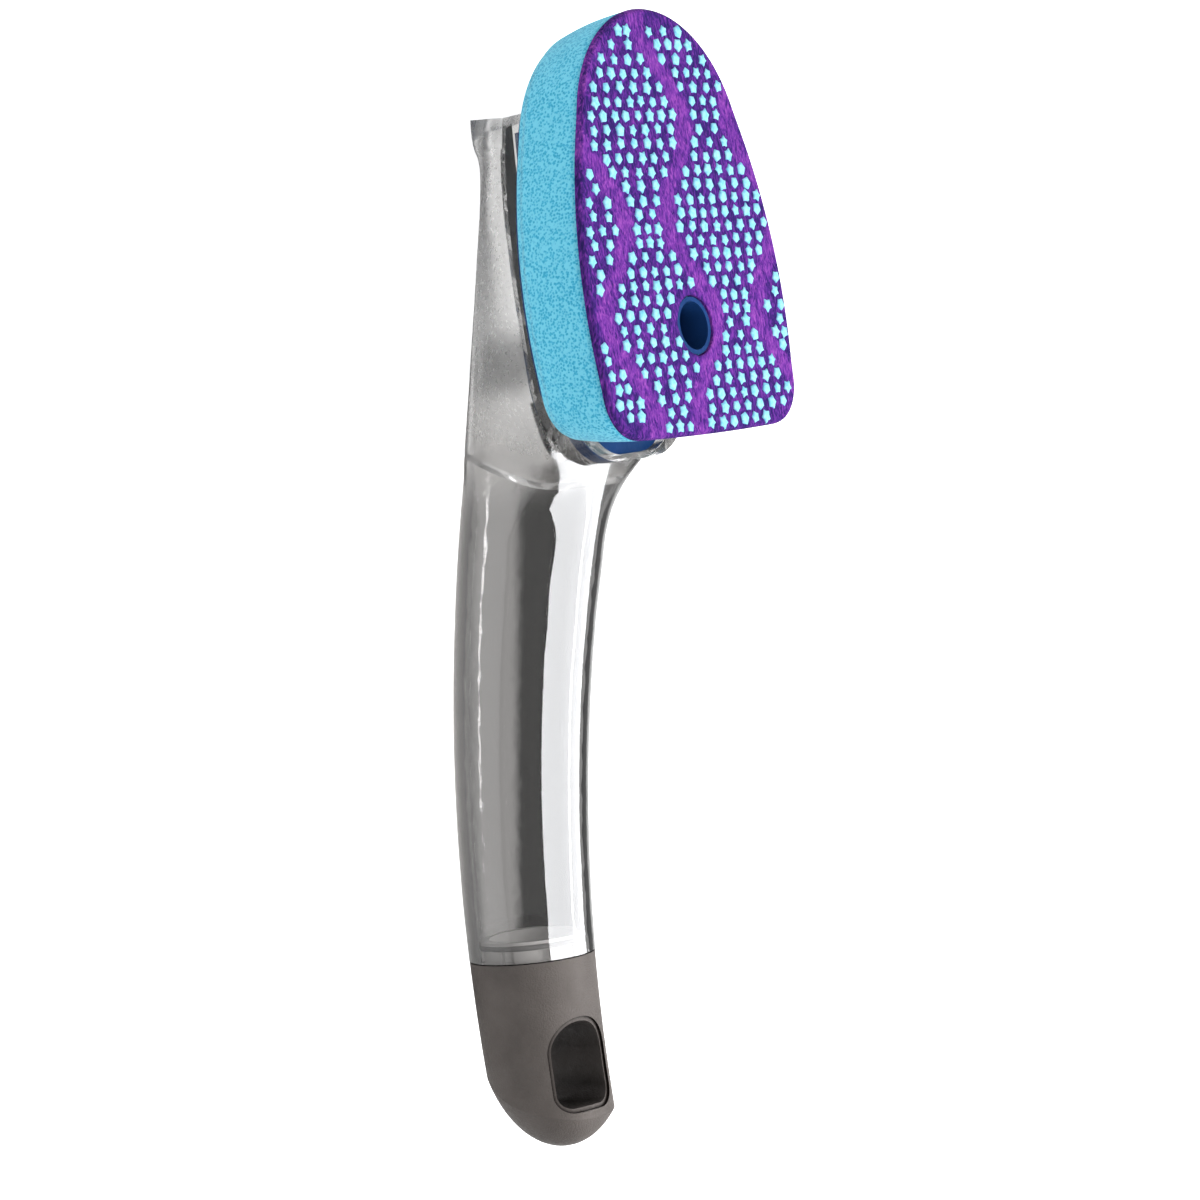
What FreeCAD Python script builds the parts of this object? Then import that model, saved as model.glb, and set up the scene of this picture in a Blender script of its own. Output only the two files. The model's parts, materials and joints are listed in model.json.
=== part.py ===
import FreeCAD, Part
import math
import os
from FreeCAD import Vector

# A dish wand lying on its back: X runs along the wand towards its head, Z is up, the scrub face looks up.
# All lengths are millimetres and all angles degrees.

# Handle: a round tube that thickens towards the head, bent along one arc in the XZ plane.
bend_radius = 370.0
joint_to_belly = 72.5
belly_to_shoulder = 26.0
joint_radius = 14.1
belly_radius = 15.5
shoulder_radius = 16.2
shell_wall = 2.4
web_from_belly = 36.0
web_thickness = 1.6
boss_wall = 1.5
tube_span_count = 12
blend_span_count = 3
hull_span_count = 8
skin_degree_count = 3
ring_point_count = 12

# Head: a boat-shaped hull whose flat top, the seat of the tray, leans by the face angle.
face_angle = 15.5
outlet_from_belly = 67.1
foam_back_height = 38.1
hull_foot = 16.0
hull_tip = 52.3
hull_tip_lean = 2.3
hull_crest_height = 35.0
hull_seat_half_width = 24.4
hull_foot_narrowing = 2.2
hull_tip_narrowing = 6.2
hull_keel_height = 1.2
hull_keel_half_width = 10.6
hull_keel_rise = 3.8
tip_keel_half_width = 10.8
tip_keel_rise = 1.2
hull_flare_share = 0.62
deck_from_outlet = 10.5
deck_thickness = 2.2

# Section of the hull: the turn of its keel, its side and the round top that the seat cuts off.
keel_turn_share = 0.55
keel_turn_rise_share = 0.24
side_height_share = 0.55
side_half_share = 0.62
top_turn_share = 0.62
top_turn_height_share = 0.8

# Tray: a clear plate with a T-slot, two rails and a closed U-shaped foot.
tray_floor = 2.2
tray_wall = 1.3
tray_foot = 25.7
tray_foot_half_width = 6.0
tray_hip = 6.0
tray_waist = 6.0
tray_bow_share = 0.8
rail_foot = 14.0
rail_lip = 1.8
rail_overlap = 3.0
slide_clearance = 0.3

# Refill: navy base with plate, neck, tongue and spout, then the foam and the scrub pad.
plate_thickness = 2.2
plate_inset = 4.0
tongue_thickness = 2.8
tongue_half_width = 17.6
tongue_foot_half_width = 4.5
tongue_hip = 10.0
tongue_head = 46.0
plate_to_rail_gap = 0.4
hole_radius = 6.5
spout_wall = 1.0
spout_fit = 0.3
spout_recess = 0.5
foam_thickness = 15.2
pad_thickness = 2.8
sponge_nose = 68.0
sponge_foot = 23.1
sponge_half_width = 36.5
back_nose_inset = 2.4
back_foot_inset = 3.0
foam_bulge = 0.6

# Outline of the sponge: where the nose arc, the side and the corner meet, as shares of its reach and width.
nose_end_share = 0.67
nose_end_width_share = 0.785
side_middle_share = 0.26
side_middle_width_share = 0.983
side_end_share = 0.5
side_end_width_share = 0.975
corner_middle_share = 0.88
corner_middle_width_share = 0.885
corner_end_share = 0.985
corner_end_width_share = 0.7

# Valve: chamber under the tray, stem, plug, spring and thumb button, all on the axis of the outlet.
outlet_radius = 3.2
outlet_plug_radius = 4.2
outlet_plug_thickness = 1.2
plug_clearance = 0.2
counterbore_margin = 0.2
valve_flange_radius = 9.5
valve_flange = 2.0
valve_radius = 7.0
valve_wall = 1.8
valve_depth = 16.0
valve_bottom = 2.0
stem_radius = 1.6
stem_clearance = 0.3
seal_thickness = 1.4
seal_clearance = 0.1
gasket_inner_radius = 5.6
gasket_width = 1.4
gasket_depth = 1.2
gasket_gap = 0.15
button_radius = 5.0
button_flange_overhang = 1.2
button_flange = 1.2
button_skin = 3.2
button_proud = 0.5
button_crown = 0.5
bezel_wall = 1.3
bezel_length = 6.5
fit_clearance = 0.1
spring_radius = 2.6
spring_wire = 0.8
spring_turn_count = 5
spring_end_clearance = 0.05

# Soap duct from the end of the reservoir to the side of the valve chamber.
duct_radius = 3.2
duct_wall = 1.1
duct_into_reservoir = 1.5
duct_seal_thickness = 1.6
duct_seal_width = 1.6

# End cap: matte cap on the same arc, rounded off towards the front, with a hang slot through it.
cap_length = 42.8
cap_dome = 26.6
cap_dome_forward = 2.95
cap_dome_margin = 0.2
cap_start_radius = 14.0
cap_end_radius = 13.25
cap_joint_gap = 0.3
slot_turn_angle = 15.0
slot_width = 14.0
slot_length = 18.8
slot_from_joint = 14.9
slot_top_corner = 6.6
slot_foot_corner = 3.5
slot_rim_width = 1.0
slot_rim_depth = 0.6

# Plug of the cap in the handle's mouth: a ring of lugs, and above them a seal ring in its groove.
plug_length = 4.4
plug_gap = 0.4
plug_wall = 2.0
plug_socket_depth = 7.0
lug_count = 9
lug_gap = 2.6
lug_height = 2.4
lug_depth = 1.4
seal_ring_wire = 1.2
seal_ring_from_mouth = 3.1
seal_ring_fit = 0.05

overrun = 5.0

parts = {}


def arc_point(along):
    """Point on the handle's axis at an arc length from the belly."""
    angle = along / bend_radius
    return Vector(bend_radius * math.sin(angle), 0, belly_radius + bend_radius * (1 - math.cos(angle)))


def arc_frame(along):
    """Placement on the handle's axis: x along the axis, towards the head, z towards the arc's centre."""
    angle = math.degrees(along / bend_radius)
    return FreeCAD.Placement(arc_point(along), FreeCAD.Rotation(Vector(0, 1, 0), -angle))


face_frame = FreeCAD.Placement(
    Vector(outlet_from_belly, 0, foam_back_height), FreeCAD.Rotation(Vector(0, 1, 0), face_angle))


def moved(shape, frame):
    """A copy of a shape, carried from its own axes to a frame."""
    copy = shape.copy()
    copy.Placement = frame.multiply(copy.Placement)
    return copy


def ring_wire(points):
    """Closed smooth curve through evenly numbered points."""
    curve = Part.BSplineCurve()
    places = [float(step) for step in range(len(points) + 1)]
    curve.interpolate(points, PeriodicFlag=True, Parameters=places)
    return Part.Wire([curve.toShape()])


def tube_points(along, inset):
    """Round section of the handle at an arc length, drawn in by an inset, from its back round to its front."""
    frame = arc_frame(along)
    radius = handle_radius(along) - inset
    points = []
    for step in range(ring_point_count):
        turn = 2 * math.pi * step / ring_point_count - math.pi / 2
        points.append(frame.multVec(Vector(0, radius * math.cos(turn), radius * math.sin(turn))))
    return points


def keel_depth(along, height):
    """Depth below the foam's back, square to the face, of a point at a height above the ground."""
    lean = math.radians(face_angle)
    return (height - foam_back_height + along * math.sin(lean)) / math.cos(lean)


def hull_points(along, inset):
    """Egg-shaped section of the hull at a place along the face, drawn in by an inset, from keel to crest.

    The seat narrows a little to the foot and with the cube of the way to the tip. Near the tip the keel
    drops, flattens and leans out.
    """
    if along < 0:
        narrowing = hull_foot_narrowing * (along / hull_foot) ** 2
    else:
        narrowing = hull_tip_narrowing * (along / hull_tip) ** 3
    flare = max(0, (along / hull_tip - hull_flare_share) / (1 - hull_flare_share)) ** 2
    lean = hull_tip_lean * flare
    rise = hull_keel_rise + (tip_keel_rise - hull_keel_rise) * flare
    keel_half = hull_keel_half_width + (tip_keel_half_width - hull_keel_half_width) * flare
    keel_half = keel_half - inset * keel_turn_share
    seat_half = hull_seat_half_width - narrowing - inset
    keel = keel_depth(along, hull_keel_height * (1 - flare)) + inset
    crest = keel_depth(along, hull_crest_height) - inset - keel
    height = seat_level - keel
    right = [
        (keel_half * keel_turn_share, rise * keel_turn_rise_share),
        (keel_half, rise),
        (keel_half + (seat_half - keel_half) * side_half_share, height * side_height_share),
        (seat_half, height),
        (seat_half * top_turn_share, height + (crest - height) * top_turn_height_share),
    ]
    outline = [(0, 0)] + right + [(0, crest)] + [(-y, z) for y, z in reversed(right)]
    return [face_frame.multVec(Vector(along - lean * z / height, y, keel + z)) for y, z in outline]


# Levels square to the face, from the foam's back at zero down to the tray's seat on the hull.
rail_top = -plate_thickness - plate_to_rail_gap
rail_bottom = rail_top - rail_lip
tongue_top = rail_bottom - slide_clearance
tongue_bottom = tongue_top - tongue_thickness
floor_top = tongue_bottom - slide_clearance
seat_level = floor_top - tray_floor


def handle_radius(along):
    """Outer radius at an arc length from the belly: it grows evenly to the belly and faster beyond it."""
    if along < 0:
        return belly_radius + (belly_radius - joint_radius) * along / joint_to_belly
    return belly_radius + (shoulder_radius - belly_radius) * along / belly_to_shoulder


def blend_points(before, first, last, after, share):
    """Section at a share of the way from first to last.

    Each point follows a cubic that leaves first as it came from before, and reaches last as it goes to after.
    """
    points = []
    for a, b, c, d in zip(before, first, last, after):
        leave = (b - a) * blend_span_count
        reach = (d - c) * blend_span_count
        points.append(b * ((1 + 2 * share) * (1 - share) ** 2) + leave * (share * (1 - share) ** 2)
                      + c * (share ** 2 * (3 - 2 * share)) + reach * (share ** 2 * (share - 1)))
    return points


def wand_skin(inset, start):
    """Smooth solid from a start on the handle to the hull's tip, through evenly spaced sections."""
    tube_step = (belly_to_shoulder - start) / tube_span_count
    tube = [tube_points(start + tube_step * span, inset) for span in range(tube_span_count + 1)]
    hull_step = (hull_tip + hull_foot) / hull_span_count
    hull = [hull_points(hull_step * span - hull_foot, inset) for span in range(hull_span_count + 1)]
    blend = [blend_points(tube[-2], tube[-1], hull[0], hull[1], span / blend_span_count)
             for span in range(1, blend_span_count)]
    return skin([ring_wire(points) for points in tube + blend + hull])


def slab(along_low, along_high, half_width, low, high):
    """Block in face axes."""
    size = Vector(along_high - along_low, 2 * half_width, high - low)
    return Part.makeBox(size.x, size.y, size.z, Vector(along_low, -half_width, low))


def disc(radius, low, high, hole=0):
    """Upright cylinder or ring on the outlet's axis, in face axes."""
    shape = Part.makeCylinder(radius, high - low, Vector(0, 0, low))
    if hole > 0:
        shape = shape.cut(Part.makeCylinder(hole, high - low, Vector(0, 0, low)))
    return shape


def sponge_outline(level, inset, nose_inset, foot_inset):
    """Iron-shaped outline in face axes: a nose arc, two sides, two corners and a nearly straight foot."""
    nose = sponge_nose - nose_inset
    foot = sponge_foot - foot_inset
    half = sponge_half_width - inset

    def at(along, across):
        return Vector(along, across, level)

    def side(sign):
        shoulder = at(nose * nose_end_share, sign * half * nose_end_width_share)
        middle = at(nose * side_middle_share, sign * half * side_middle_width_share)
        hip = at(-foot * side_end_share, sign * half * side_end_width_share)
        corner = at(-foot * corner_middle_share, sign * half * corner_middle_width_share)
        heel = at(-foot * corner_end_share, sign * half * corner_end_width_share)
        return shoulder, middle, hip, corner, heel

    left = side(1)
    right = side(-1)
    edges = [
        Part.Arc(right[0], at(nose, 0), left[0]),
        Part.Arc(left[0], left[1], left[2]),
        Part.Arc(left[2], left[3], left[4]),
        Part.Arc(left[4], at(-foot, 0), right[4]),
        Part.Arc(right[4], right[3], right[2]),
        Part.Arc(right[2], right[1], right[0]),
    ]
    return Part.Wire([edge.toShape() for edge in edges])


def foot_corner(side, flat, sign, level):
    """Five points of two tangent arcs, an eighth of a turn each, from a side to a flat foot."""
    eighth = math.pi / 4
    slack = 1 - math.cos(eighth)
    run = side[0] - flat[0]
    drop = side[1] - flat[1]
    first = (run * math.sin(eighth) - drop * slack) / (math.sin(eighth) ** 2 - slack ** 2)
    second = (drop * math.sin(eighth) - run * slack) / (math.sin(eighth) ** 2 - slack ** 2)
    points = []
    for step in range(3):
        turn = eighth * step / 2
        points.append((side[0] - first * math.sin(turn), side[1] - first * (1 - math.cos(turn))))
    for step in range(3, 5):
        turn = math.pi / 2 - eighth * step / 2
        points.append((flat[0] + second * (1 - math.cos(turn)), flat[1] + second * math.sin(turn)))
    return [Vector(along, sign * across, level) for along, across in points]


def footed_outline(side, flat, head_edges, level):
    """Closed outline: a rounded flat foot, and the edges at the head that join its two sides."""
    left = foot_corner(side, flat, 1, level)
    right = foot_corner(side, flat, -1, level)
    edges = head_edges + [
        Part.Arc(left[0], left[1], left[2]),
        Part.Arc(left[2], left[3], left[4]),
        Part.LineSegment(left[4], right[4]),
        Part.Arc(right[4], right[3], right[2]),
        Part.Arc(right[2], right[1], right[0]),
    ]
    return Part.Wire(Part.__sortEdges__([edge.toShape() for edge in edges]))


def tongue_outline(level, grow, head):
    """Slider outline in face axes, drawn out all round by grow: straight rails and a rounded foot."""
    half = tongue_half_width + grow
    foot = tray_foot - tray_wall - slide_clearance + grow
    head_edges = [
        Part.LineSegment(Vector(-tongue_hip, -half, level), Vector(head, -half, level)),
        Part.LineSegment(Vector(head, -half, level), Vector(head, half, level)),
        Part.LineSegment(Vector(head, half, level), Vector(-tongue_hip, half, level)),
    ]
    return footed_outline((-tongue_hip, half), (-foot, tongue_foot_half_width), head_edges, level)


def tray_outline(level):
    """Tray outline in face axes: arcs that draw in to the tip, straight hips and a rounded foot."""
    tip = hull_tip - hull_tip_lean
    tip_half = hull_seat_half_width - hull_tip_narrowing
    bow = (tip + tray_waist) / 2
    bow_half = tip_half + hull_tip_narrowing * tray_bow_share
    half = hull_seat_half_width

    def at(along, across):
        return Vector(along, across, level)

    head_edges = [
        Part.LineSegment(at(-tray_hip, -half), at(tray_waist, -half)),
        Part.Arc(at(tray_waist, -half), at(bow, -bow_half), at(tip, -tip_half)),
        Part.LineSegment(at(tip, -tip_half), at(tip, tip_half)),
        Part.Arc(at(tip, tip_half), at(bow, bow_half), at(tray_waist, half)),
        Part.LineSegment(at(tray_waist, half), at(-tray_hip, half)),
    ]
    return footed_outline((-tray_hip, half), (-tray_foot, tray_foot_half_width), head_edges, level)


def upright(wire, height):
    """Solid from a flat outline, raised square to the face."""
    return Part.Face(wire).extrude(Vector(0, 0, height))


def skin(sections):
    """Smooth solid through closed sections."""
    return Part.makeLoft(sections, True, False, False, skin_degree_count)


# Handle shell: one clear moulding, hollow throughout. A web with a boss for the duct parts the reservoir
# from the dry hull, and a deck closes the hull's foot under the tray.
outer = wand_skin(0, -joint_to_belly)
above_seat = moved(
    slab(-hull_foot - bend_radius, hull_tip + overrun, sponge_half_width + overrun, seat_level,
         foam_thickness), face_frame)
outer = outer.cut(above_seat)

inside = wand_skin(shell_wall, -joint_to_belly - overrun)
deck = slab(-hull_foot - bend_radius, -deck_from_outlet, sponge_half_width + overrun,
            seat_level - deck_thickness, foam_thickness)
tip_wall = slab(hull_tip - hull_tip_lean - shell_wall, hull_tip + overrun, sponge_half_width + overrun,
                -bend_radius, foam_thickness)
web = Part.makeCylinder(sponge_half_width, web_thickness, Vector(0, 0, 0), Vector(1, 0, 0))
inside = inside.cut(moved(deck, face_frame)).cut(moved(tip_wall, face_frame))
inside = inside.cut(moved(web, arc_frame(web_from_belly)))

along_x = Vector(1, 0, 0)
duct_height_below_seat = (valve_depth - valve_bottom) / 2
duct_end = face_frame.multVec(Vector(0, 0, seat_level - duct_height_below_seat))
web_x = arc_point(web_from_belly).x
duct_start = web_x - duct_into_reservoir
duct_length = duct_end.x - valve_radius - duct_start + valve_wall
duct_base = Vector(duct_start, 0, duct_end.z)
counterbore_radius = duct_radius + duct_seal_width + fit_clearance
counterbore_depth = duct_into_reservoir + duct_seal_thickness
boss = Part.makeCylinder(counterbore_radius + boss_wall, counterbore_depth + boss_wall, duct_base, along_x)

shell = outer.cut(inside.cut(boss))
shell = shell.cut(Part.makeCylinder(duct_radius + fit_clearance, duct_length, duct_base, along_x))
shell = shell.cut(Part.makeCylinder(counterbore_radius, counterbore_depth, duct_base, along_x))

valve_low = seat_level - valve_depth
bezel_low = keel_depth(0, hull_keel_height)
bezel_radius = button_radius + slide_clearance + bezel_wall
shell = shell.cut(moved(disc(bezel_radius + fit_clearance, bezel_low - overrun, bezel_low + bezel_length),
                        face_frame))
parts["handle_shell"] = shell

# Head tray: the floor, the walls with their rails, the outlet's counterbore and the gasket's groove.
tray_outer = upright(tray_outline(seat_level), rail_top - seat_level)
channel = upright(tongue_outline(floor_top, slide_clearance, hull_tip + overrun), rail_bottom - floor_top)
mouth = upright(tongue_outline(rail_bottom, slide_clearance - rail_overlap, hull_tip + overrun),
                rail_lip + overrun)
foot_mouth = upright(tongue_outline(rail_bottom, slide_clearance, hull_tip), rail_lip + overrun)
foot_mouth = foot_mouth.common(slab(-tray_foot, -rail_foot, hull_seat_half_width, rail_bottom, overrun))
counterbore_level = floor_top - outlet_plug_thickness - 2 * plug_clearance
tray = tray_outer.cut(channel).cut(mouth).cut(foot_mouth)
tray = tray.cut(disc(outlet_radius, seat_level - overrun, floor_top + overrun))
tray = tray.cut(disc(outlet_plug_radius + counterbore_margin, counterbore_level, floor_top + overrun))
tray = tray.cut(disc(gasket_inner_radius + gasket_width + fit_clearance, floor_top - gasket_depth,
                     floor_top + overrun, gasket_inner_radius - fit_clearance))
parts["head_tray"] = moved(tray, face_frame)

parts["refill_gasket"] = moved(
    disc(gasket_inner_radius + gasket_width, floor_top - gasket_depth, tongue_bottom - gasket_gap,
         gasket_inner_radius), face_frame)

# Valve body: flanged cup under the tray floor, with a guide for the stem and a side port for the duct.
valve = disc(valve_flange_radius, seat_level - valve_flange, seat_level)
valve = valve.fuse(disc(valve_radius, valve_low, seat_level))
valve = valve.cut(disc(valve_radius - valve_wall, valve_low + valve_bottom, seat_level))
valve = valve.cut(disc(stem_radius + stem_clearance, valve_low, valve_low + valve_bottom))
valve = moved(valve.removeSplitter(), face_frame)
valve = valve.cut(Part.makeCylinder(duct_radius + fit_clearance, duct_length, duct_base, along_x))
parts["valve_body"] = valve

duct = Part.makeCylinder(duct_radius, duct_length, duct_base, along_x)
parts["soap_duct"] = duct.cut(Part.makeCylinder(duct_radius - duct_wall, duct_length, duct_base, along_x))

seal_base = Vector(web_x, 0, duct_end.z)
duct_seal = Part.makeCylinder(duct_radius + duct_seal_width, duct_seal_thickness, seal_base, along_x)
parts["duct_seal"] = duct_seal.cut(
    Part.makeCylinder(duct_radius + seal_clearance, duct_seal_thickness, seal_base, along_x))

# Thumb button: crowned disc with a flange that stops behind the bezel, and a pocket for the spring.
bezel_high = bezel_low + bezel_length
flange_low = bezel_high + slide_clearance
flange_high = flange_low + button_flange
pocket_low = bezel_low - button_proud + button_skin


def trimmed(shape, level):
    """Shape with what lies below a level above the ground cut off, so that its face follows the keel."""
    reach = bend_radius
    below = Part.makeBox(2 * reach, reach, reach, Vector(-reach, -reach / 2, level - reach))
    return shape.cut(below)


button_level = hull_keel_height - button_proud
button = trimmed(moved(disc(button_radius, bezel_low - overrun, flange_high), face_frame), button_level)
rim_edges = [edge for edge in button.Edges if edge.BoundBox.ZMax < button_level + fit_clearance]
button = button.makeFillet(button_crown, rim_edges)
flange = disc(button_radius + button_flange_overhang, flange_low, flange_high)
button = button.fuse(moved(flange, face_frame))
pocket_radius = spring_radius + spring_wire
button = button.cut(moved(disc(pocket_radius, pocket_low, flange_high), face_frame))
parts["soap_button"] = button.removeSplitter()

bezel = disc(bezel_radius, bezel_low - overrun, bezel_high, button_radius + slide_clearance)
parts["button_bezel"] = moved(bezel, face_frame).common(outer)

# Stem from the button's pocket through the chamber to the plug, which shuts the outlet from above.
plug_low = counterbore_level + plug_clearance
plug_high = plug_low + outlet_plug_thickness
parts["valve_stem"] = moved(disc(stem_radius, pocket_low, plug_high), face_frame)
parts["outlet_plug"] = moved(disc(outlet_plug_radius, plug_low, plug_high, stem_radius), face_frame)
stem_seal_low = valve_low + valve_bottom
parts["stem_seal"] = moved(
    disc(valve_radius - valve_wall - seal_clearance, stem_seal_low, stem_seal_low + seal_thickness,
         stem_radius + seal_clearance), face_frame)

# Return spring: one unbroken wire, its turns spread evenly between the button's pocket and the valve body.
spring_low = pocket_low + spring_wire / 2 + spring_end_clearance
spring_high = valve_low - spring_wire / 2 - spring_end_clearance
spring_pitch = (spring_high - spring_low) / spring_turn_count
quarter_count = 4 * spring_turn_count


def spring_point(quarter):
    """Point on the spring's line after a number of quarter turns."""
    turn = quarter * math.pi / 2
    return Vector(spring_radius * math.cos(turn), spring_radius * math.sin(turn),
                  spring_low + spring_pitch * quarter / 4)


spring_edges = []
for quarter in range(quarter_count):
    arc = Part.Arc(spring_point(quarter), spring_point(quarter + 0.5), spring_point(quarter + 1))
    spring_edges.append(arc.toShape())
spring_line = Part.Wire(spring_edges)
start = spring_edges[0]
spring_profile = Part.Wire([Part.makeCircle(spring_wire / 2, start.valueAt(start.FirstParameter),
                                            start.tangentAt(start.FirstParameter))])
spring = spring_line.makePipeShell([spring_profile], True, False)
parts["return_spring"] = moved(spring, face_frame)
print("spring gap between turns %.2f mm" % (spring_pitch - spring_wire))

# Refill base: plate behind the foam, neck between the rails, tongue under them and the spout in the hole.
plate_line = sponge_outline(
    -plate_thickness, plate_inset, back_nose_inset + plate_inset, back_foot_inset + plate_inset)
plate = upright(plate_line, plate_thickness)
neck = upright(tongue_outline(tongue_top, -slide_clearance - rail_overlap, tongue_head),
               -plate_thickness - tongue_top)
tongue = upright(tongue_outline(tongue_bottom, 0, tongue_head), tongue_thickness)
spout_high = foam_thickness + pad_thickness - spout_recess
spout_radius = hole_radius - spout_fit
base = plate.fuse(neck).fuse(tongue).fuse(disc(spout_radius, 0, spout_high))
base = base.cut(disc(spout_radius - spout_wall, tongue_bottom - overrun, spout_high + overrun))
parts["refill_base"] = moved(base.removeSplitter(), face_frame)

# Foam: back outline a little smaller than the face, sides softly swollen half way.
foam_sections = [
    sponge_outline(0, 0, back_nose_inset, back_foot_inset),
    sponge_outline(foam_thickness / 2, -foam_bulge, back_nose_inset / 2 - foam_bulge,
                   back_foot_inset / 2 - foam_bulge),
    sponge_outline(foam_thickness, 0, 0, 0),
]
foam = Part.makeLoft(foam_sections, True, False)
foam = foam.cut(disc(hole_radius, -overrun, foam_thickness + overrun))
parts["foam_block"] = moved(foam, face_frame)

pad = upright(sponge_outline(foam_thickness, 0, 0, 0), pad_thickness)
pad = pad.cut(disc(hole_radius, foam_thickness - overrun, foam_thickness + pad_thickness + overrun))
parts["scrub_pad"] = moved(pad, face_frame)

# End cap on the handle's arc: its back runs smoothly into an off-centre rounded end, which meets the front
# at a crease. The hang slot runs front to back, turned a little to one side.
cap_start = -joint_to_belly - cap_joint_gap


def cap_radius(from_start):
    """Outer radius at a length from the cap's start."""
    return cap_start_radius + (cap_end_radius - cap_start_radius) * from_start / cap_length


def cap_section(from_start, inset):
    """True circle across the handle's arc."""
    frame = arc_frame(cap_start - from_start)
    axis = frame.Rotation.multVec(Vector(1, 0, 0))
    return Part.Wire([Part.makeCircle(cap_radius(from_start) - inset, frame.Base, axis)])


def cap_body(inset):
    """The cap before its end is rounded, drawn in by an inset."""
    return skin([cap_section(share * cap_length, inset) for share in (0, 0.5, 1)])


dome_start = cap_length - cap_dome
dome_radius = cap_radius(dome_start) + cap_dome_forward + cap_dome_margin
dome_frame = arc_frame(cap_start - dome_start).multiply(
    FreeCAD.Placement(Vector(0, 0, cap_dome_forward), FreeCAD.Rotation()))
dome_line = Part.ArcOfEllipse(Part.Ellipse(Vector(0, 0, 0), cap_dome, dome_radius), math.pi / 2, math.pi)
dome_profile = Part.Wire([
    dome_line.toShape(),
    Part.LineSegment(Vector(-cap_dome, 0, 0), Vector(0, 0, 0)).toShape(),
    Part.LineSegment(Vector(0, 0, 0), Vector(0, dome_radius, 0)).toShape(),
])
dome = Part.Face(dome_profile).revolve(Vector(0, 0, 0), Vector(1, 0, 0), 360)
beyond = Part.makeBox(cap_dome + overrun, 2 * sponge_half_width, 2 * sponge_half_width,
                      Vector(-cap_dome - overrun, -sponge_half_width, -sponge_half_width))
cap = cap_body(0).cut(moved(beyond.cut(dome), dome_frame))

slot_frame = arc_frame(cap_start - slot_from_joint - slot_length / 2).multiply(
    FreeCAD.Placement(Vector(0, 0, 0), FreeCAD.Rotation(Vector(1, 0, 0), -slot_turn_angle)))


def slot_outline(grow, level):
    """Hang slot seen from the front: round towards the handle, squarer towards the foot."""
    half = slot_width / 2 + grow
    reach = slot_length / 2 + grow
    top = slot_top_corner + grow
    foot = slot_foot_corner + grow
    diagonal = 1 - math.sqrt(0.5)

    def at(along, across):
        return Vector(along, across, level)

    edges = [
        Part.LineSegment(at(reach, -half + top), at(reach, half - top)),
        Part.Arc(at(reach, half - top), at(reach - top * diagonal, half - top * diagonal),
                 at(reach - top, half)),
        Part.LineSegment(at(reach - top, half), at(-reach + foot, half)),
        Part.Arc(at(-reach + foot, half), at(-reach + foot * diagonal, half - foot * diagonal),
                 at(-reach, half - foot)),
        Part.LineSegment(at(-reach, half - foot), at(-reach, -half + foot)),
        Part.Arc(at(-reach, -half + foot), at(-reach + foot * diagonal, -half + foot * diagonal),
                 at(-reach + foot, -half)),
        Part.LineSegment(at(-reach + foot, -half), at(reach - top, -half)),
        Part.Arc(at(reach - top, -half), at(reach - top * diagonal, -half + top * diagonal),
                 at(reach, -half + top)),
    ]
    return Part.Wire([edge.toShape() for edge in edges])


slot_reach = cap_start_radius + overrun
slot = upright(slot_outline(0, -slot_reach), 2 * slot_reach)
slot_rim = upright(slot_outline(slot_rim_width, 0), slot_reach)
cap = cap.cut(moved(slot, slot_frame)).cut(moved(slot_rim, slot_frame).cut(cap_body(slot_rim_depth)))

plug_frame = arc_frame(-joint_to_belly)
plug_radius = joint_radius - shell_wall - plug_gap


def barrel(radius, low, high, hole=0):
    """Cylinder or ring along the handle's axis at the cap's joint."""
    axis = Vector(1, 0, 0)
    shape = Part.makeCylinder(radius, high - low, Vector(low, 0, 0), axis)
    if hole > 0:
        shape = shape.cut(Part.makeCylinder(hole, high - low, Vector(low, 0, 0), axis))
    return shape


socket_radius = plug_radius - plug_wall
cap = cap.cut(moved(barrel(plug_radius + fit_clearance, -plug_socket_depth, overrun), plug_frame))
parts["end_cap"] = cap

plug = barrel(plug_radius, -plug_socket_depth + fit_clearance, plug_length)
plug = plug.cut(barrel(socket_radius, -plug_socket_depth + fit_clearance + plug_wall, plug_length))
groove_radius = plug_radius + plug_gap - seal_ring_fit - seal_ring_wire
ring_low = seal_ring_from_mouth - seal_ring_wire / 2
ring_high = seal_ring_from_mouth + seal_ring_wire / 2
plug = plug.cut(barrel(plug_radius + overrun, ring_low, ring_high, groove_radius))
gap_base = Vector(0, -lug_gap / 2, plug_radius - lug_depth)
gap = Part.makeBox(lug_height, lug_gap, lug_depth + overrun, gap_base)
for lug in range(lug_count):
    plug = plug.cut(gap.rotated(Vector(0, 0, 0), Vector(1, 0, 0), 360 * lug / lug_count))
parts["cap_plug"] = moved(plug, plug_frame)
ring = Part.makeTorus(groove_radius + seal_ring_wire / 2, seal_ring_wire / 2,
                      Vector(seal_ring_from_mouth, 0, 0), Vector(1, 0, 0))
parts["cap_seal"] = moved(ring, plug_frame)

# Origin under the middle of the wand, on the surface that it lies on.
box = FreeCAD.BoundBox()
for shape in parts.values():
    box.add(shape.optimalBoundingBox(False))
to_origin = FreeCAD.Placement(Vector(-box.Center.x, -box.Center.y, -box.ZMin), FreeCAD.Rotation())

os.makedirs("parts", exist_ok=True)
for name, shape in parts.items():
    placed = moved(shape, to_origin)
    print(name, "solids", len(placed.Solids), "valid", placed.isValid(), "volume %.1f" % placed.Volume)
    placed.exportStep("parts/%s.step" % name)

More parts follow.
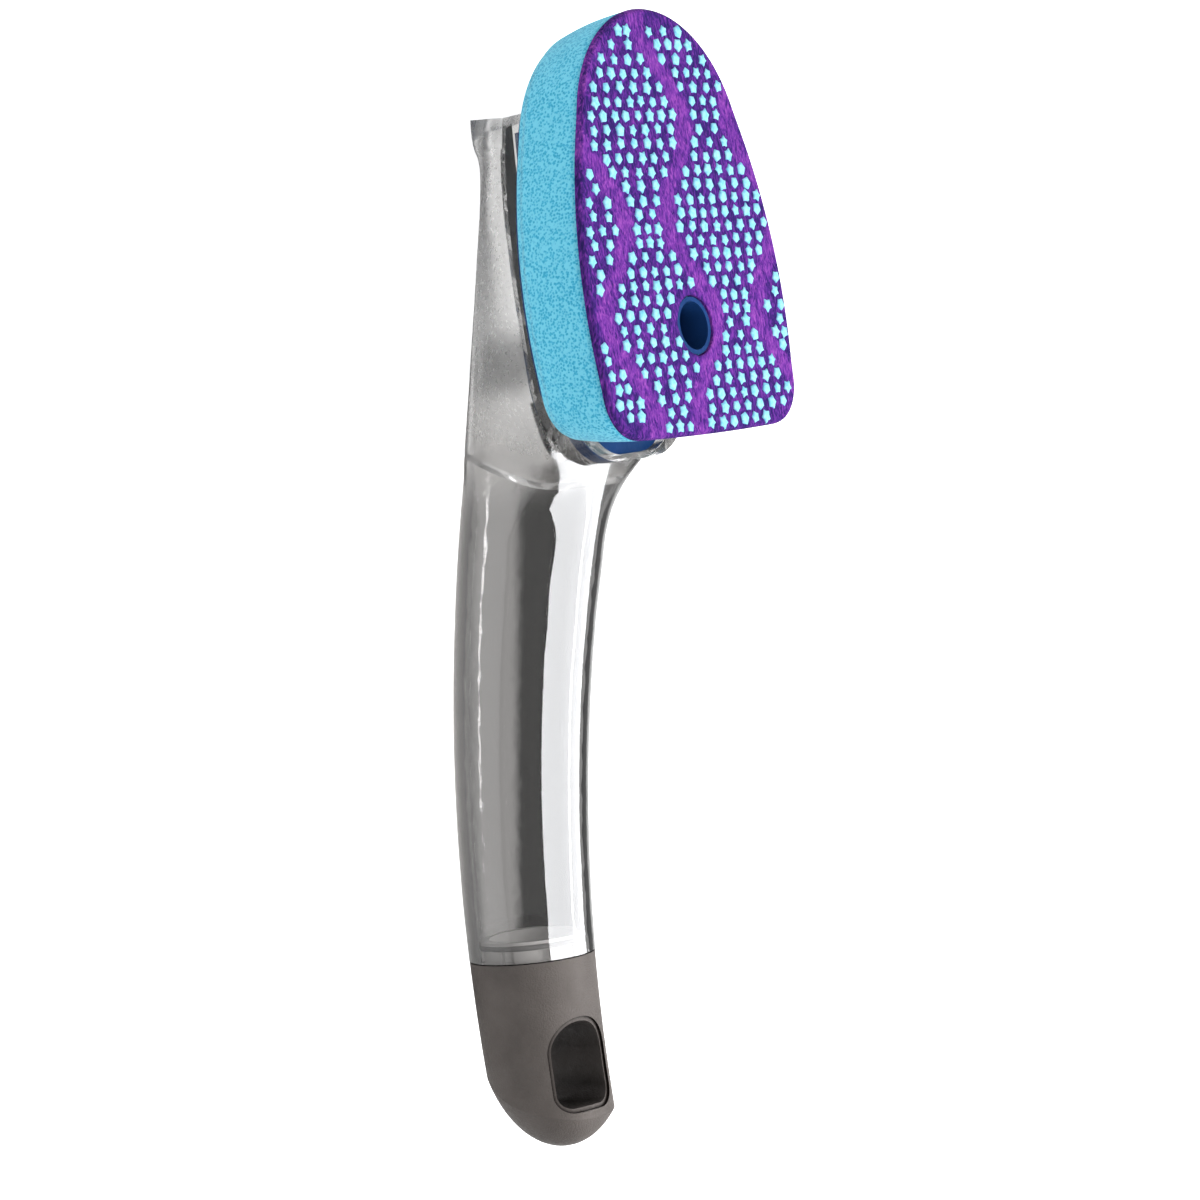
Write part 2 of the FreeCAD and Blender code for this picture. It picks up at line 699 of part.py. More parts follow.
print("box %.3f %.3f %.3f" % (box.XLength, box.YLength, box.ZLength))
print("face origin", to_origin.multiply(face_frame).Base, "cap joint", to_origin.multiply(plug_frame).Base)
print("slot", to_origin.multiply(slot_frame).Base, "axis", slot_frame.Rotation.multVec(Vector(0, 0, 1)))
print("shift", to_origin.Base)
print("spout bore %.3f from %.3f to %.3f" % (spout_radius - spout_wall, tongue_bottom, spout_high))
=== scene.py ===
import json
import bpy
import numpy as np
from mathutils import Matrix


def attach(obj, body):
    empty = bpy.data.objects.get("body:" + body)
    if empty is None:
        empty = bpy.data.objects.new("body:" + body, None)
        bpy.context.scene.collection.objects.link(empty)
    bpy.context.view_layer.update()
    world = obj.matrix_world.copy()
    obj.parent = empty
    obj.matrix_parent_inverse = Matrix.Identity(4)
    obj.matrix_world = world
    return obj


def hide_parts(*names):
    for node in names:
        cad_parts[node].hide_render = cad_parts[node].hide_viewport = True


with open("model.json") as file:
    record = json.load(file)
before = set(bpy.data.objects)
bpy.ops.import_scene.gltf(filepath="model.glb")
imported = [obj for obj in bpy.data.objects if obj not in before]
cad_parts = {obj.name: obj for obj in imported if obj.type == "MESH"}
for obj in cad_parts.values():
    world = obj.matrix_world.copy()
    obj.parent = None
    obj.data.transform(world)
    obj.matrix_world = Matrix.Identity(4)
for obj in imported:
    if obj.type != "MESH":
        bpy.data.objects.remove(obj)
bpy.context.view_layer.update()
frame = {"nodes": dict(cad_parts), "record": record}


# Handle shell: one clear smoky moulding, the bent reservoir that is the grip and the boat-shaped hull behind
# the sponge. It is injection moulded and polished, so its only texture is a faint waviness of the flow. Its
# grip is clear, and its hull is paler and hazier.
def place(tree, kind, inputs, **settings):
    """Adds a shader node with its settings, and feeds its inputs from values or other nodes' outputs."""
    made = tree.nodes.new(kind)
    for key, value in settings.items():
        setattr(made, key, value)
    for key, value in inputs.items():
        if isinstance(value, bpy.types.NodeSocket):
            tree.links.new(value, made.inputs[key])
        else:
            made.inputs[key].default_value = value
    return made


def new_finish(name):
    """A material with one Principled shader: gives the material, its tree and the shader."""
    finish = bpy.data.materials.new(name)
    finish.use_nodes = True
    return finish, finish.node_tree, finish.node_tree.nodes["Principled BSDF"]


def dress(node, finish):
    """Puts one finish on a CAD node that keeps its own shape."""
    mesh = frame["nodes"][node].data
    mesh.materials.clear()
    mesh.materials.append(finish)


def mould_flow_group():
    """Slow waves of a moulded skin: noise of a stated size bends the normal, finer noise varies the gloss."""
    group = bpy.data.node_groups.new("mould_flow", "ShaderNodeTree")
    for name in ("Size", "Depth", "Smooth", "Dull"):
        group.interface.new_socket(name, in_out="INPUT", socket_type="NodeSocketFloat")
    group.interface.new_socket("Roughness", in_out="OUTPUT", socket_type="NodeSocketFloat")
    group.interface.new_socket("Normal", in_out="OUTPUT", socket_type="NodeSocketVector")
    given = group.nodes.new("NodeGroupInput").outputs
    where = place(group, "ShaderNodeTexCoord", {}).outputs["Object"]
    waves = place(group, "ShaderNodeTexNoise", {"Vector": where, "Scale": given["Size"], "Detail": 2.0})
    dust = place(group, "ShaderNodeTexNoise", {"Vector": where, "Scale": 900.0, "Detail": 3.0})
    gloss = place(group, "ShaderNodeMapRange", {
        "Value": dust.outputs["Fac"], "From Min": 0.35, "From Max": 0.7,
        "To Min": given["Smooth"], "To Max": given["Dull"]})
    bump = place(group, "ShaderNodeBump", {
        "Height": waves.outputs["Fac"], "Strength": given["Depth"], "Distance": 0.001})
    given_out = group.nodes.new("NodeGroupOutput")
    group.links.new(gloss.outputs["Result"], given_out.inputs["Roughness"])
    group.links.new(bump.outputs["Normal"], given_out.inputs["Normal"])
    return group


mould_flow = mould_flow_group()


def clear_finish(name, grip_tint, head_tint, grip_haze, head_haze):
    """Clear moulded plastic, polished outside: tint and haze pass from the grip's to the head's along X.

    Shadow rays pass it with the grip's tint, so that lamps light what it holds.
    """
    finish, tree, shader = new_finish(name)
    where = place(tree, "ShaderNodeTexCoord", {}).outputs["Object"]
    part = place(tree, "ShaderNodeSeparateXYZ", {"Vector": where})
    haze = place(tree, "ShaderNodeMapRange", {
        "Value": part.outputs["X"], "From Min": 0.015, "From Max": 0.035,
        "To Min": grip_haze, "To Max": head_haze})
    dull = place(tree, "ShaderNodeMath", {0: haze.outputs["Result"], 1: 1.5}, operation="MULTIPLY")
    flow = place(tree, "ShaderNodeGroup", {}, node_tree=mould_flow)
    flow.inputs["Size"].default_value = 45.0
    flow.inputs["Depth"].default_value = 0.04
    tree.links.new(haze.outputs["Result"], flow.inputs["Smooth"])
    tree.links.new(dull.outputs["Value"], flow.inputs["Dull"])
    headward = place(tree, "ShaderNodeMapRange", {
        "Value": part.outputs["X"], "From Min": 0.025, "From Max": 0.055})
    shade = place(tree, "ShaderNodeMix", {
        0: headward.outputs["Result"], 6: (*grip_tint, 1.0), 7: (*head_tint, 1.0)}, data_type="RGBA")
    tree.links.new(shade.outputs[2], shader.inputs["Base Color"])
    shader.inputs["Transmission Weight"].default_value = 1.0
    shader.inputs["IOR"].default_value = 1.49
    shader.inputs["Coat Weight"].default_value = 0.6
    shader.inputs["Coat Roughness"].default_value = 0.02
    tree.links.new(flow.outputs["Roughness"], shader.inputs["Roughness"])
    tree.links.new(flow.outputs["Normal"], shader.inputs["Normal"])
    path = place(tree, "ShaderNodeLightPath", {})
    passed = place(tree, "ShaderNodeBsdfTransparent", {"Color": (*grip_tint, 1.0)})
    either = place(tree, "ShaderNodeMixShader", {
        0: path.outputs["Is Shadow Ray"], 1: shader.outputs["BSDF"], 2: passed.outputs["BSDF"]})
    tree.links.new(either.outputs["Shader"], tree.nodes["Material Output"].inputs["Surface"])
    return finish


clear_smoke = clear_finish("clear_smoke", (0.9, 0.888, 0.878), (0.97, 0.965, 0.96), 0.03, 0.24)
dress("handle_shell", clear_smoke)


# Head tray: clear plate welded on the hull, with the two rails that hold the refill and a U-shaped foot. It
# is moulded from the same clear plastic, but thinner, so it looks paler.
clear_pale = clear_finish("clear_pale", (0.92, 0.915, 0.91), (0.97, 0.965, 0.96), 0.03, 0.05)
dress("head_tray", clear_pale)


# Valve in the hull: a clear cup and duct, a milky stem, pale silicone seals and a steel spring. They are
# pressed in from the tray's side before it is welded on, and little of them shows through the hull.
def shade_ramp(tree, factor, stops):
    """Colours of a ramp that runs through stops of place and colour, at the place that the factor gives."""
    shade = place(tree, "ShaderNodeValToRGB", {"Fac": factor})
    for spot, colour in stops:
        shade.color_ramp.elements.new(spot).color = (*colour, 1.0)
    shade.color_ramp.elements.remove(shade.color_ramp.elements[0])
    shade.color_ramp.elements.remove(shade.color_ramp.elements[-1])
    return shade.outputs["Color"]


def solid_finish(name, colour, flow_values):
    """Plastic, rubber or metal of one colour with a little cloudiness, and the waves of its making."""
    finish, tree, shader = new_finish(name)
    flow = place(tree, "ShaderNodeGroup", {}, node_tree=mould_flow)
    for key, value in flow_values.items():
        flow.inputs[key].default_value = value
    where = place(tree, "ShaderNodeTexCoord", {}).outputs["Object"]
    cloud = place(tree, "ShaderNodeTexNoise", {"Vector": where, "Scale": 120.0, "Detail": 4.0})
    dark = [0.86 * part for part in colour]
    light = [min(1.0, 1.1 * part) for part in colour]
    shade = shade_ramp(tree, cloud.outputs["Fac"], ((0.3, dark), (0.7, light)))
    tree.links.new(shade, shader.inputs["Base Color"])
    tree.links.new(flow.outputs["Roughness"], shader.inputs["Roughness"])
    tree.links.new(flow.outputs["Normal"], shader.inputs["Normal"])
    return finish, shader


pale_plastic, pale_shader = solid_finish(
    "pale_plastic", (0.86, 0.86, 0.86), {"Size": 300.0, "Depth": 0.08, "Smooth": 0.3, "Dull": 0.45})
pale_shader.inputs["Transmission Weight"].default_value = 0.15
seal_rubber, seal_shader = solid_finish(
    "seal_rubber", (0.5, 0.5, 0.51), {"Size": 900.0, "Depth": 0.1, "Smooth": 0.45, "Dull": 0.6})
seal_shader.inputs["Transmission Weight"].default_value = 0.5
spring_steel, spring_shader = solid_finish(
    "spring_steel", (0.6, 0.6, 0.6), {"Size": 1500.0, "Depth": 0.1, "Smooth": 0.22, "Dull": 0.35})
spring_shader.inputs["Metallic"].default_value = 1.0
for node in ("valve_body", "soap_duct", "button_bezel"):
    dress(node, clear_pale)
dress("valve_stem", pale_plastic)
dress("return_spring", spring_steel)
for node in ("stem_seal", "duct_seal", "outlet_plug", "refill_gasket"):
    dress(node, seal_rubber)


# Refill base: navy moulding that carries the sponge. Its plate is glued behind the foam, its tongue runs in
# the tray's rails, and its spout lines the round hole in the pad.
navy, navy_shader = solid_finish(
    "navy", (0.01, 0.048, 0.17), {"Size": 500.0, "Depth": 0.12, "Smooth": 0.28, "Dull": 0.42})
navy_shader.inputs["Specular IOR Level"].default_value = 0.2
dress("refill_base", navy)


# Foam block: cyan open-cell foam, iron-shaped, cut a little smaller at its back, with a hole for the spout.
# The cut faces are open cells about half a millimetre across, and the edges at the back are rounded.
spout = next(mount for mount in frame["record"]["mounts"] if mount["name"] == "soap_spout")
face_out = np.array(spout["axis"])
face_along = np.cross((0.0, 1.0, 0.0), face_out)
spout_mount_level = 5.0
foam_back = np.array(spout["pos_m"]) * 1000.0 - spout_mount_level * face_out
foam_thickness = 15.2
pad_thickness = 2.8
foam_rise = 1.0
foam_top = foam_thickness + foam_rise
hole_radius = 6.5
sponge_half_width = 36.5
face_nose, face_foot = 68.0, 23.1
back_nose, back_foot = 65.6, 20.1
plate_gap = 0.05
foam_swell = 0.6
foam_rounds = (2.2, 0.15)
easing_steps = 6


def circle_through(first, middle, last, count):
    """Points on the circle through three points, evenly turned from the first to just before the last."""
    a, b, c = (complex(*point) for point in (first, middle, last))
    w = (c - a) / (b - a)
    centre = (b - a) * (w - abs(w) ** 2) / (2j * w.imag) + a
    start, half, end = (np.angle(point - centre) for point in (a, b, c))
    turn = (end - start) % (2 * np.pi)
    if (half - start) % (2 * np.pi) > turn:
        turn -= 2 * np.pi
    spots = centre + abs(a - centre) * np.exp(1j * (start + turn * np.arange(count) / count))
    return np.stack((spots.real, spots.imag), axis=1)


def iron_outline(nose, foot, half):
    """Outline of the sponge along and across its face: arcs for nose, sides, corners and foot."""
    near = ((0.67 * nose, 0.785 * half), (0.26 * nose, 0.983 * half), (-0.5 * foot, 0.975 * half),
            (-0.88 * foot, 0.885 * half), (-0.985 * foot, 0.7 * half))
    far = [(along, -across) for along, across in near]
    shoulder, middle, hip, corner, heel = near
    far_shoulder, far_middle, far_hip, far_corner, far_heel = far
    return np.concatenate((
        circle_through(far_shoulder, (nose, 0.0), shoulder, 96),
        circle_through(shoulder, middle, hip, 64),
        circle_through(hip, corner, heel, 24),
        circle_through(heel, (-foot, 0.0), far_heel, 48),
        circle_through(far_heel, far_corner, far_hip, 24),
        circle_through(far_hip, far_middle, far_shoulder, 64)))


def softened(ring, steps):
    """A closed line with eased kinks: each step takes a point to the mean of itself and its neighbours."""
    for _ in range(steps):
        ring = (np.roll(ring, 1, axis=0) + 2.0 * ring + np.roll(ring, -1, axis=0)) / 4.0
    return ring


def on_face(along, across, level):
    """Places in the frame, in millimetres, of points given along, across and square to the face."""
    return (foam_back + along[..., None] * face_along + across[..., None] * np.array((0.0, 1.0, 0.0))
            + level[..., None] * face_out)


def add_piece(name, points, faces, finish):
    """A smooth closed mesh from points in millimetres and faces of one kind, turned to face outwards."""
    corners = points[faces]
    spans = corners[:, 1:-1] - corners[:, :1], corners[:, 2:] - corners[:, :1]
    volume = (np.cross(spans[0], spans[1]) * corners[:, :1]).sum()
    if volume < 0.0:
        faces = faces[:, ::-1]
    mesh = bpy.data.meshes.new(name)
    mesh.from_pydata((points / 1000.0).tolist(), [], faces.tolist())
    mesh.polygons.foreach_set("use_smooth", np.ones(len(faces), dtype=bool))
    mesh.materials.append(finish)
    mesh.update()
    piece = bpy.data.objects.new(name, mesh)
    bpy.context.scene.collection.objects.link(piece)
    return piece


def wrapped_faces(rows, columns):
    """Faces of a grid of points that closes on itself both ways."""
    row, column = np.meshgrid(np.arange(rows), np.arange(columns), indexing="ij")
    below, beside = (row + 1) % rows, (column + 1) % columns
    return np.stack((row * columns + column, row * columns + beside, below * columns + beside,
                     below * columns + column), axis=-1).reshape(-1, 4)


def ring_slab(back, front, levels, side, edge_round):
    """Slab with a hole: a profile of reach, from 0 at the hole to 1, and level is carried round the outline.

    The profile runs over the back, round the outer edges and the side, which swells by side in its middle,
    over the front and down the hole. Between levels the outline passes evenly from back to front.
    """
    back_steps, turn_steps, side_steps, front_steps, bore_steps = 24, 6, 14, 40, 8
    low, high = levels
    tall = high - low
    turn = np.linspace(0.0, np.pi / 2, turn_steps)
    r_low, r_high = edge_round
    height = np.linspace(r_low, tall - r_high, side_steps)
    profile = [
        (np.linspace(0.0, 1.0, back_steps), np.zeros(back_steps), np.full(back_steps, -r_low)),
        (np.ones(turn_steps), r_low * (1 - np.cos(turn)), -r_low * (1 - np.sin(turn))),
        (np.ones(side_steps), height, side * np.sin(np.pi * height / tall)),
        (np.ones(turn_steps), tall - r_high * (1 - np.sin(turn)), -r_high * (1 - np.cos(turn))),
        (np.linspace(1.0, 0.0, front_steps), np.full(front_steps, tall), np.full(front_steps, -r_high)),
        (np.zeros(bore_steps), np.linspace(tall, 0.0, bore_steps + 2)[1:-1], np.zeros(bore_steps)),
    ]
    reach, level, swell = (np.concatenate([part[k] for part in profile])[:, None] for k in range(3))
    share = level / tall
    outline = back[None] * (1 - share[..., None]) + front[None] * share[..., None]
    size = np.linalg.norm(outline, axis=-1, keepdims=True)
    rim = outline / size * hole_radius
    swollen = outline + outline / size * (swell * reach)[..., None]
    flat = rim + (swollen - rim) * reach[..., None]
    return flat, level[:, 0] + low


def open_cell_group():
    """Open-cell foam: distance in a cell texture of a stated size, stirred by noise of the same size."""
    group = bpy.data.node_groups.new("open_cells", "ShaderNodeTree")
    group.interface.new_socket("Size", in_out="INPUT", socket_type="NodeSocketFloat")
    group.interface.new_socket("Open", in_out="OUTPUT", socket_type="NodeSocketFloat")
    given = group.nodes.new("NodeGroupInput").outputs
    where = place(group, "ShaderNodeTexCoord", {}).outputs["Object"]
    stir = place(group, "ShaderNodeTexNoise", {"Vector": where, "Scale": given["Size"], "Detail": 3.0})
    cells = place(group, "ShaderNodeTexVoronoi", {"Vector": where, "Scale": given["Size"]}, feature="F1")
    depth = place(group, "ShaderNodeMath", {0: stir.outputs["Fac"], 1: cells.outputs["Distance"]},
                  operation="ADD")
    mouth = place(group, "ShaderNodeMapRange", {
        "Value": depth.outputs["Value"], "From Min": 0.65, "From Max": 1.25})
    group.links.new(mouth.outputs["Result"], group.nodes.new("NodeGroupOutput").inputs["Open"])
    return group


foam_finish, foam_tree, foam_shader = new_finish("foam")
cells = place(foam_tree, "ShaderNodeGroup", {}, node_tree=open_cell_group())
cells.inputs["Size"].default_value = 1700.0
foam_where = place(foam_tree, "ShaderNodeTexCoord", {}).outputs["Object"]
foam_cloud = place(foam_tree, "ShaderNodeTexNoise", {"Vector": foam_where, "Scale": 130.0, "Detail": 3.0})
foam_mix = place(foam_tree, "ShaderNodeMath", {
    0: foam_cloud.outputs["Fac"], 1: 0.35, 2: cells.outputs["Open"]}, operation="MULTIPLY_ADD")
foam_shade = shade_ramp(foam_tree, foam_mix.outputs["Value"], (
    (0.12, (0.042, 0.39, 0.63)), (0.5, (0.072, 0.5, 0.76)), (0.95, (0.2, 0.71, 0.92))))
foam_bump = place(foam_tree, "ShaderNodeBump", {
    "Height": cells.outputs["Open"], "Strength": 0.3, "Distance": 0.0004})
foam_tree.links.new(foam_shade, foam_shader.inputs["Base Color"])
foam_tree.links.new(foam_bump.outputs["Normal"], foam_shader.inputs["Normal"])
foam_shader.inputs["Roughness"].default_value = 0.85
foam_shader.inputs["Sheen Weight"].default_value = 0.35
foam_shader.inputs["Sheen Roughness"].default_value = 0.5
foam_shader.inputs["Sheen Tint"].default_value = (0.6, 0.92, 1.0, 1.0)
foam_shader.inputs["Specular IOR Level"].default_value = 0.05

face_line = softened(iron_outline(face_nose, face_foot, sponge_half_width), easing_steps)
back_line = softened(iron_outline(back_nose, back_foot, sponge_half_width), easing_steps)
foam_flat, foam_level = ring_slab(back_line, face_line, (plate_gap, foam_top), foam_swell, foam_rounds)
foam_grid = foam_flat.shape[:2]
foam_points = on_face(foam_flat[..., 0], foam_flat[..., 1], np.broadcast_to(foam_level[:, None], foam_grid))
foam_piece = add_piece("foam_body", foam_points.reshape(-1, 3), wrapped_faces(*foam_grid), foam_finish)
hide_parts("foam_block")
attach(foam_piece, "refill")


# Scrub pad: purple non-woven web of coarse nylon fibres, glued on the foam and die cut with it. The fibres
# lie in the plane of the pad at several angles, some magenta and some indigo. Painted shade darkens the web
# among the dots, so that it is lighter in the lanes where no dots are printed.
pad_finish, pad_tree, pad_shader = new_finish("scrub_web")
pad_where = place(pad_tree, "ShaderNodeTexCoord", {}).outputs["Object"]


def fibre_layer(turn, size):
    """Fibres that lie one way in the pad: noise drawn out along one direction of the face."""
    laid = place(pad_tree, "ShaderNodeMapping", {
        "Vector": pad_where, "Rotation": (0.0, -np.arcsin(face_out[0]), turn), "Scale": (0.22, 1.0, 1.0)})
    return place(pad_tree, "ShaderNodeTexNoise", {
        "Vector": laid.outputs["Vector"], "Scale": size, "Detail": 2.0, "Distortion": 0.6}).outputs["Fac"]


lane_set = ((-31.0, 1), (-2.0, -1), (26.0, 1))
lane_half = 4.1
lane_swing = 6.2
lane_wave = 42.0
lane_turn = 1.3


def lane_across(along, middle, side):
    """Middle of a bare lane across the face: a sine wave along it, either side of the lane's own middle."""
    return middle + side * lane_swing * np.sin(2 * np.pi * along / lane_wave + lane_turn)


fibres = [fibre_layer(turn, size) for turn, size in ((0.4, 1900.0), (1.5, 2100.0), (2.6, 1700.0))]
web = place(pad_tree, "ShaderNodeMath", {0: fibres[0], 1: fibres[1]}, operation="MAXIMUM")
web = place(pad_tree, "ShaderNodeMath", {0: web.outputs["Value"], 1: fibres[2]}, operation="MAXIMUM")
pad_cloud = place(pad_tree, "ShaderNodeTexNoise", {"Vector": pad_where, "Scale": 260.0, "Detail": 4.0})
pad_mix = place(pad_tree, "ShaderNodeMath", {0: pad_cloud.outputs["Fac"], 1: 0.3, 2: web.outputs["Value"]},
                operation="MULTIPLY_ADD")
# Painted shade: an attribute of the pad's points lightens the web in the bare lanes and leaves it darker
# among the dots.
painted_lane_light = place(pad_tree, "ShaderNodeAttribute", {}, attribute_name="painted_lane_light")
pad_mix = place(pad_tree, "ShaderNodeMath", {0: painted_lane_light.outputs["Fac"], 1: 0.11, 2: pad_mix.outputs["Value"]},
                operation="MULTIPLY_ADD")
pad_shade = shade_ramp(pad_tree, pad_mix.outputs["Value"], (
    (0.64, (0.025, 0.014, 0.11)), (0.75, (0.085, 0.024, 0.23)), (0.85, (0.18, 0.04, 0.34)),
    (0.97, (0.32, 0.08, 0.45))))
pad_bump = place(pad_tree, "ShaderNodeBump", {
    "Height": web.outputs["Value"], "Strength": 0.9, "Distance": 0.0006})
pad_tree.links.new(pad_shade, pad_shader.inputs["Base Color"])
pad_tree.links.new(pad_bump.outputs["Normal"], pad_shader.inputs["Normal"])
pad_shader.inputs["Roughness"].default_value = 0.75
pad_shader.inputs["Specular IOR Level"].default_value = 0.05

glue_gap = 0.02
pad_swell = 0.1
pad_rounds = (0.2, 1.2)
pad_unevenness = 0.1
top_slack = 0.01
painted_light_inset = 1.0
painted_light_fade = 1.5
pad_low = foam_top + glue_gap
pad_high = foam_thickness + pad_thickness
pad_flat, pad_level = ring_slab(face_line, face_line, (pad_low, pad_high), pad_swell, pad_rounds)
pad_grid = pad_flat.shape[:2]
pad_along, pad_across = pad_flat[..., 0], pad_flat[..., 1]
pad_level = np.broadcast_to(pad_level[:, None], pad_grid)
pad_ripple = np.sin(0.9 * pad_along + 1.3 * np.sin(0.31 * pad_across)) * np.sin(0.8 * pad_across)
pad_lift = pad_unevenness * (pad_ripple - 1.0)
pad_level = pad_level + np.where(pad_level > pad_high - top_slack, pad_lift, 0.0)
pad_points = on_face(pad_along, pad_across, pad_level)
pad_piece = add_piece("scrub_layer", pad_points.reshape(-1, 3), wrapped_faces(*pad_grid), pad_finish)
# Painted shade among the dots: the attribute is one in the middle of each lane and falls to nought towards
# the dots.
lane_reach = np.min([np.abs(pad_across - lane_across(pad_along, *lane)) for lane in lane_set], axis=0)
painted_light_depth = (lane_half - painted_light_inset - lane_reach) / painted_light_fade
painted_light_share = pad_piece.data.attributes.new("painted_lane_light", "FLOAT", "POINT")
painted_light_share.data.foreach_set("value", np.clip(0.5 + painted_light_depth, 0.0, 1.0).ravel())
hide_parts("scrub_pad")
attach(pad_piece, "refill")


# Scrub dots: drops of pale-blue resin printed on the web in staggered rows, where they harden as low stars.
# The rows leave three wavy lanes bare, and the hole and the rim of the pad stay clear.
dot_finish, dot_tree, dot_shader = new_finish("scrub_dots")
dot_where = place(dot_tree, "ShaderNodeTexCoord", {}).outputs["Object"]
dot_cloud = place(dot_tree, "ShaderNodeTexNoise", {"Vector": dot_where, "Scale": 1100.0, "Detail": 3.0})
dot_shade = shade_ramp(dot_tree, dot_cloud.outputs["Fac"], (
    (0.3, (0.2, 0.62, 0.84)), (0.65, (0.4, 0.82, 0.95))))
dot_bump = place(dot_tree, "ShaderNodeBump", {
    "Height": dot_cloud.outputs["Fac"], "Strength": 0.5, "Distance": 0.0004})
dot_tree.links.new(dot_shade, dot_shader.inputs["Base Color"])
dot_tree.links.new(dot_bump.outputs["Normal"], dot_shader.inputs["Normal"])
dot_shader.inputs["Roughness"].default_value = 0.6
dot_shader.inputs["Specular IOR Level"].default_value = 0.15

row_pitch = 3.0
dot_pitch = 4.4
dot_radius = 1.35
dot_height = 0.6
dot_reach = 1.8
dot_from_rim = 2.2
dot_from_hole = 1.2
dot_scatter = 0.2
dot_sink = 0.2
row_stagger = 0.3
gap_squeeze = 0.35
first_row, last_row = -7, 22
most_in_block = 18
uneven = np.random.default_rng(7)
row_along = row_pitch * np.arange(first_row, last_row + 1)
upper = face_line[face_line[:, 1] > 0.0]
upper = upper[np.argsort(upper[:, 0])]
row_ends = row_along[:, None] + dot_reach * np.array((-1.0, 0.0, 1.0))
row_half = np.interp(row_ends, upper[:, 0], upper[:, 1], left=0.0, right=0.0).min(axis=1) - dot_from_rim
lanes = np.stack([lane_across(row_along, *lane) for lane in lane_set], axis=1)
block_low = np.concatenate((-row_half[:, None], lanes + lane_half), axis=1).clip(min=-row_half[:, None])
block_high = np.concatenate((lanes - lane_half, row_half[:, None]), axis=1).clip(max=row_half[:, None])
drawn_in = row_stagger * dot_pitch * (np.arange(row_along.size) % 2)[:, None]
block_width = block_high - block_low - 2 * drawn_in
dot_gaps = np.floor(block_width / dot_pitch + gap_squeeze)
dot_step = block_width / np.maximum(dot_gaps, 1.0)
column = np.arange(most_in_block)[None, None]
dot_across = (block_low + drawn_in)[..., None] + column * dot_step[..., None]
dot_along = np.broadcast_to(row_along[:, None, None], dot_across.shape)
kept = (column <= dot_gaps[..., None]) & (np.hypot(dot_along, dot_across) > hole_radius + dot_from_hole)
dot_along = dot_along[kept] + uneven.uniform(-dot_scatter, dot_scatter, kept.sum())
dot_across = dot_across[kept] + uneven.uniform(-dot_scatter, dot_scatter, kept.sum())
dot_size = uneven.uniform(0.88, 1.1, dot_along.size)

# Each star is three rings of corners, whose reach swings in and out five times a turn, a top and a bottom.
star_arms = 5
corners = 2 * star_arms
ring_counts = (corners, corners, corners, 1, 1)
ring_share = np.repeat((1.0, 0.86, 0.5, 0.0, 0.0), ring_counts)
star_level = np.repeat((-0.12, 0.55, 0.92, 1.0, -0.12), ring_counts)
corner_turn = np.append(np.tile(np.arange(corners) * 2 * np.pi / corners, 3), (0.0, 0.0))
star_depth = uneven.uniform(0.08, 0.22, dot_along.size)[:, None]
star_turn = corner_turn[None] + uneven.uniform(0, 2 * np.pi, dot_along.size)[:, None]
swing = 1 + star_depth * np.cos(star_arms * corner_turn[None])
spread = dot_radius * dot_size[:, None] * swing * ring_share[None]
dot_points = on_face(
    dot_along[:, None] + spread * np.cos(star_turn),
    dot_across[:, None] + spread * np.sin(star_turn),
    pad_high - dot_sink + dot_height * dot_size[:, None] * star_level[None])
outer = np.arange(corners)
outer_next = (outer + 1) % corners
middle, middle_next = outer + corners, outer_next + corners
inner, inner_next = middle + corners, middle_next + corners
top, bottom = np.full(corners, 3 * corners), np.full(corners, 3 * corners + 1)
star_faces = np.concatenate([np.stack(face, axis=1) for face in (
    (outer, outer_next, middle_next), (outer, middle_next, middle),
    (middle, middle_next, inner_next), (middle, inner_next, inner),
    (inner, inner_next, top), (outer_next, outer, bottom))])
star_starts = corner_turn.size * np.arange(dot_along.size)
dot_faces = (star_faces[None] + star_starts[:, None, None]).reshape(-1, 3)
dot_piece = add_piece("scrub_dots", dot_points.reshape(-1, 3), dot_faces, dot_finish)
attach(dot_piece, "refill")


# End cap and thumb button: matte warm-grey mouldings with a fine spark-eroded grain. The cap closes the
# handle's foot with a plug and a seal ring, and has the slot that the wand hangs from. Painted shade darkens
# the slot's depth and the other hollows of cap and button towards near black.
cap_grey, cap_shader = solid_finish(
    "cap_grey", (0.112, 0.099, 0.092), {"Size": 2600.0, "Depth": 0.22, "Smooth": 0.42, "Dull": 0.58})
cap_tree = cap_grey.node_tree
# Painted shade: where ambient occlusion finds the surface enclosed, the colour is mixed towards near black.
cap_occlusion = place(cap_tree, "ShaderNodeAmbientOcclusion", {"Distance": 0.014}, samples=8)
cap_painted_shade = place(cap_tree, "ShaderNodeMapRange", {
    "Value": cap_occlusion.outputs["AO"], "From Min": 0.6, "From Max": 0.96})
cap_colour = cap_shader.inputs["Base Color"].links[0].from_socket
cap_colour_with_painted_shade = place(cap_tree, "ShaderNodeMix", {
    0: cap_painted_shade.outputs["Result"], 6: (0.012, 0.009, 0.008, 1.0), 7: cap_colour}, data_type="RGBA")
cap_tree.links.new(cap_colour_with_painted_shade.outputs[2], cap_shader.inputs["Base Color"])
cap_shader.inputs["Specular IOR Level"].default_value = 0.12
dress("end_cap", cap_grey)
dress("soap_button", cap_grey)
dress("cap_plug", pale_plastic)
dress("cap_seal", seal_rubber)


